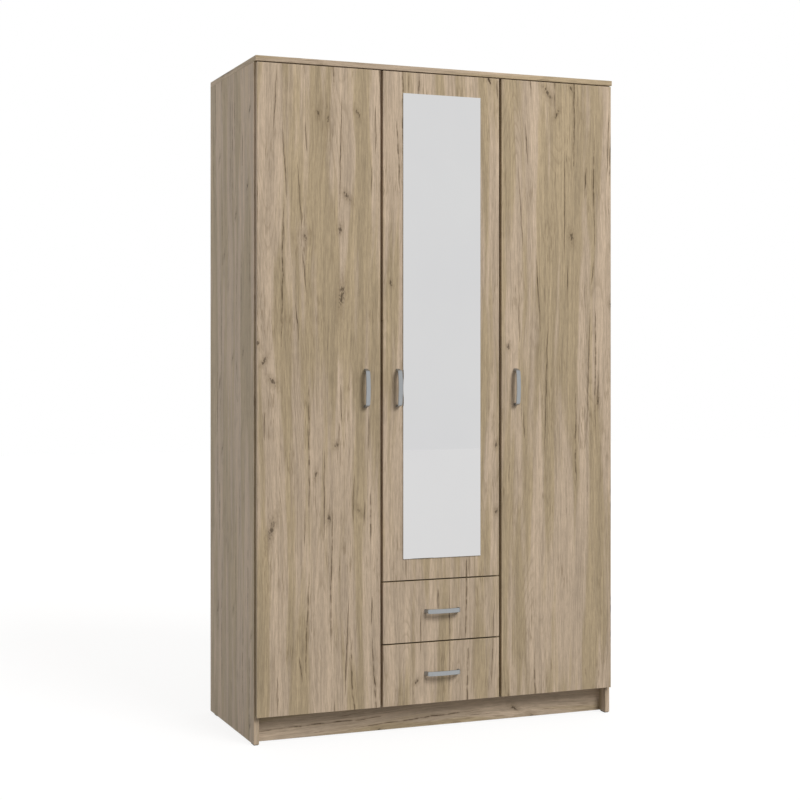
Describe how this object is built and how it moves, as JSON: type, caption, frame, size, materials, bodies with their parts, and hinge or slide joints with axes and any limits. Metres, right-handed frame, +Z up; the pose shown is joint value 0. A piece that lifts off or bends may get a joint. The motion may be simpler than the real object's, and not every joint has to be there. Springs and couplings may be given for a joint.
{
  "type": "wardrobe",
  "caption": "Tall free-standing wardrobe with hinged doors, a long mirror on the middle door and sliding drawers under it, on a recessed plinth.",
  "frame": {"origin": "centre of the whole wardrobe's footprint, handles included, on the floor under the glides", "axes": "+Z up, -Y out of the doors towards the user, +X to the right as seen from the front"},
  "size_m": [1.2, 0.543, 2.05],
  "materials": {
    "oak_laminate": "matte greyish oak decor on particle board, grain upright",
    "hardboard": "thin pale hardboard, matte",
    "drawer_board": "matte greyish oak decor on thin particle board",
    "mirror_glass": "silvered flat glass, polished edge",
    "handle_metal": "satin silver",
    "hinge_steel": "nickel plated, satin",
    "rail_steel": "bright plated tube",
    "glide_plastic": "dark, matte",
    "runner_plastic": "off-white, smooth"
  },
  "bodies": {
    "carcass": {"side_panel_left": "oak_laminate", "side_panel_right": "oak_laminate", "top_panel": "oak_laminate", "bottom_panel": "oak_laminate", "partition_left": "oak_laminate", "partition_right": "oak_laminate", "plinth_front": "oak_laminate", "back_panel": "hardboard", "drawer_deck": "oak_laminate", "hat_shelf_left": "oak_laminate", "hat_shelf_right": "oak_laminate", "middle_shelf_lower": "oak_laminate", "middle_shelf_upper": "oak_laminate", "hanging_rail_left": "rail_steel", "hanging_rail_right": "rail_steel", "glide_front_left": "glide_plastic", "glide_front_right": "glide_plastic", "glide_rear_left": "glide_plastic", "glide_rear_right": "glide_plastic", "runner_upper_left": "runner_plastic", "runner_upper_right": "runner_plastic", "runner_lower_left": "runner_plastic", "runner_lower_right": "runner_plastic", "hinge_arm_left_bottom": "hinge_steel", "hinge_arm_left_centre": "hinge_steel", "hinge_arm_left_top": "hinge_steel", "hinge_arm_middle_bottom": "hinge_steel", "hinge_arm_middle_centre": "hinge_steel", "hinge_arm_middle_top": "hinge_steel", "hinge_arm_right_bottom": "hinge_steel", "hinge_arm_right_centre": "hinge_steel", "hinge_arm_right_top": "hinge_steel"},
    "door_left": {"door_panel_left": "oak_laminate", "door_handle_left": "handle_metal", "hinge_cup_left_bottom": "hinge_steel", "hinge_cup_left_centre": "hinge_steel", "hinge_cup_left_top": "hinge_steel"},
    "door_middle": {"door_panel_middle": "oak_laminate", "mirror": "mirror_glass", "door_handle_middle": "handle_metal", "hinge_cup_middle_bottom": "hinge_steel", "hinge_cup_middle_centre": "hinge_steel", "hinge_cup_middle_top": "hinge_steel"},
    "door_right": {"door_panel_right": "oak_laminate", "door_handle_right": "handle_metal", "hinge_cup_right_bottom": "hinge_steel", "hinge_cup_right_centre": "hinge_steel", "hinge_cup_right_top": "hinge_steel"},
    "drawer_upper": {"drawer_upper_front": "oak_laminate", "drawer_upper_handle": "handle_metal", "drawer_upper_side_left": "drawer_board", "drawer_upper_side_right": "drawer_board", "drawer_upper_back": "drawer_board", "drawer_upper_bottom": "hardboard"},
    "drawer_lower": {"drawer_lower_front": "oak_laminate", "drawer_lower_handle": "handle_metal", "drawer_lower_side_left": "drawer_board", "drawer_lower_side_right": "drawer_board", "drawer_lower_back": "drawer_board", "drawer_lower_bottom": "hardboard"}
  },
  "joints": [
    {"name": "door_left_hinge", "type": "hinge", "parent": "carcass", "child": "door_left", "pos_m": [-0.5885, -0.2445, 1.058], "axis": [0, 0, -1], "range_deg": [0, 100]},
    {"name": "door_middle_hinge", "type": "hinge", "parent": "carcass", "child": "door_middle", "pos_m": [0.1885, -0.2445, 1.25], "axis": [0, 0, 1], "range_deg": [0, 100]},
    {"name": "door_right_hinge", "type": "hinge", "parent": "carcass", "child": "door_right", "pos_m": [0.5885, -0.2445, 1.058], "axis": [0, 0, 1], "range_deg": [0, 100]},
    {"name": "drawer_upper_slide", "type": "slide", "parent": "carcass", "child": "drawer_upper", "axis": [0, -1, 0], "range_m": [0, 0.32]},
    {"name": "drawer_lower_slide", "type": "slide", "parent": "carcass", "child": "drawer_lower", "axis": [0, -1, 0], "range_m": [0, 0.32]}
  ]
}
